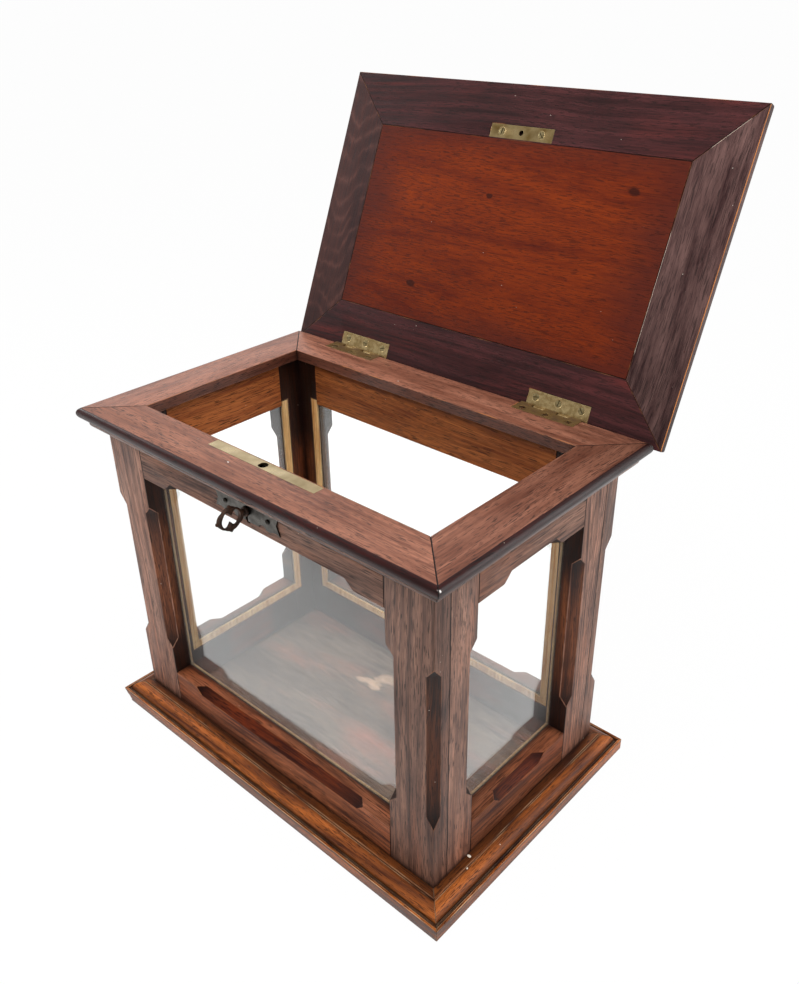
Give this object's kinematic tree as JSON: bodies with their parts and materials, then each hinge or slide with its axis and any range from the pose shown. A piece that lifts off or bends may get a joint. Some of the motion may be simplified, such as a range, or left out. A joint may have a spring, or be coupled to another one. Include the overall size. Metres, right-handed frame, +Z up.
{
  "type": "glass display box",
  "caption": "Table-top glass display box of dark stained oak on a moulded plinth, with stopped chamfers, a hinged framed lid standing open, brass hinges, a box lock and its key.",
  "frame": {"origin": "middle of the underside of the floor board, on the surface that the box stands on", "axes": "+X to the right along the front, +Y to the back, +Z up"},
  "size_m": [0.3448, 0.3209, 0.462],
  "materials": {
    "stained_oak": "satin",
    "lid_oak": "satin",
    "panel_mahogany": "satin",
    "floor_wood": "matte",
    "pale_bead": "matte",
    "clear_glass": "clear",
    "old_brass": "tarnished",
    "dark_iron": "worn"
  },
  "bodies": {
    "case": {"floor_board": "floor_wood", "plinth_front": "stained_oak", "plinth_back": "stained_oak", "plinth_left": "stained_oak", "plinth_right": "stained_oak", "front_left_stile": "stained_oak", "front_right_stile": "stained_oak", "front_bottom_rail": "stained_oak", "front_top_rail": "stained_oak", "back_left_stile": "stained_oak", "back_right_stile": "stained_oak", "back_bottom_rail": "stained_oak", "back_top_rail": "stained_oak", "left_front_stile": "stained_oak", "left_back_stile": "stained_oak", "left_bottom_rail": "stained_oak", "left_top_rail": "stained_oak", "right_front_stile": "stained_oak", "right_back_stile": "stained_oak", "right_bottom_rail": "stained_oak", "right_top_rail": "stained_oak", "bed_moulding_front": "stained_oak", "bed_moulding_back": "stained_oak", "bed_moulding_left": "stained_oak", "bed_moulding_right": "stained_oak", "top_frame_front": "stained_oak", "top_frame_back": "stained_oak", "top_frame_left": "stained_oak", "top_frame_right": "stained_oak", "front_glass": "clear_glass", "back_glass": "clear_glass", "left_glass": "clear_glass", "right_glass": "clear_glass", "front_beads": "pale_bead", "back_beads": "pale_bead", "left_beads": "pale_bead", "right_beads": "pale_bead", "left_hinge_frame_leaf": "old_brass", "right_hinge_frame_leaf": "old_brass", "hinge_pins": "old_brass", "frame_leaf_screws": "old_brass", "lock_case": "old_brass", "lock_cap": "dark_iron", "escutcheon": "dark_iron", "escutcheon_pins": "dark_iron"},
    "lid": {"lid_front_rail": "lid_oak", "lid_back_rail": "lid_oak", "lid_left_stile": "lid_oak", "lid_right_stile": "lid_oak", "lid_panel": "panel_mahogany", "left_hinge_lid_leaf": "old_brass", "right_hinge_lid_leaf": "old_brass", "lid_leaf_screws": "old_brass", "strike_plate": "old_brass", "strike_screws": "old_brass"},
    "key": {"key": "dark_iron"},
    "lock_bolt": {"lock_bolt": "dark_iron"}
  },
  "joints": [
    {"name": "lid_hinge", "type": "hinge", "parent": "case", "child": "lid", "pos_m": [0, 0.1074, 0.2629], "axis": [1, 0, 0], "range_deg": [0, 112.7]},
    {"name": "key_turn", "type": "hinge", "parent": "case", "child": "key", "pos_m": [0, -0.0937, 0.2415], "axis": [0, 1, 0], "range_deg": [0, 360]},
    {"name": "bolt_slide", "type": "slide", "parent": "case", "child": "lock_bolt", "axis": [1, 0, 0], "range_m": [0, 0.006]}
  ],
  "couplings": [
    {"joint": "key_turn", "follows": "bolt_slide", "rad_per_m": 1047.2}
  ]
}
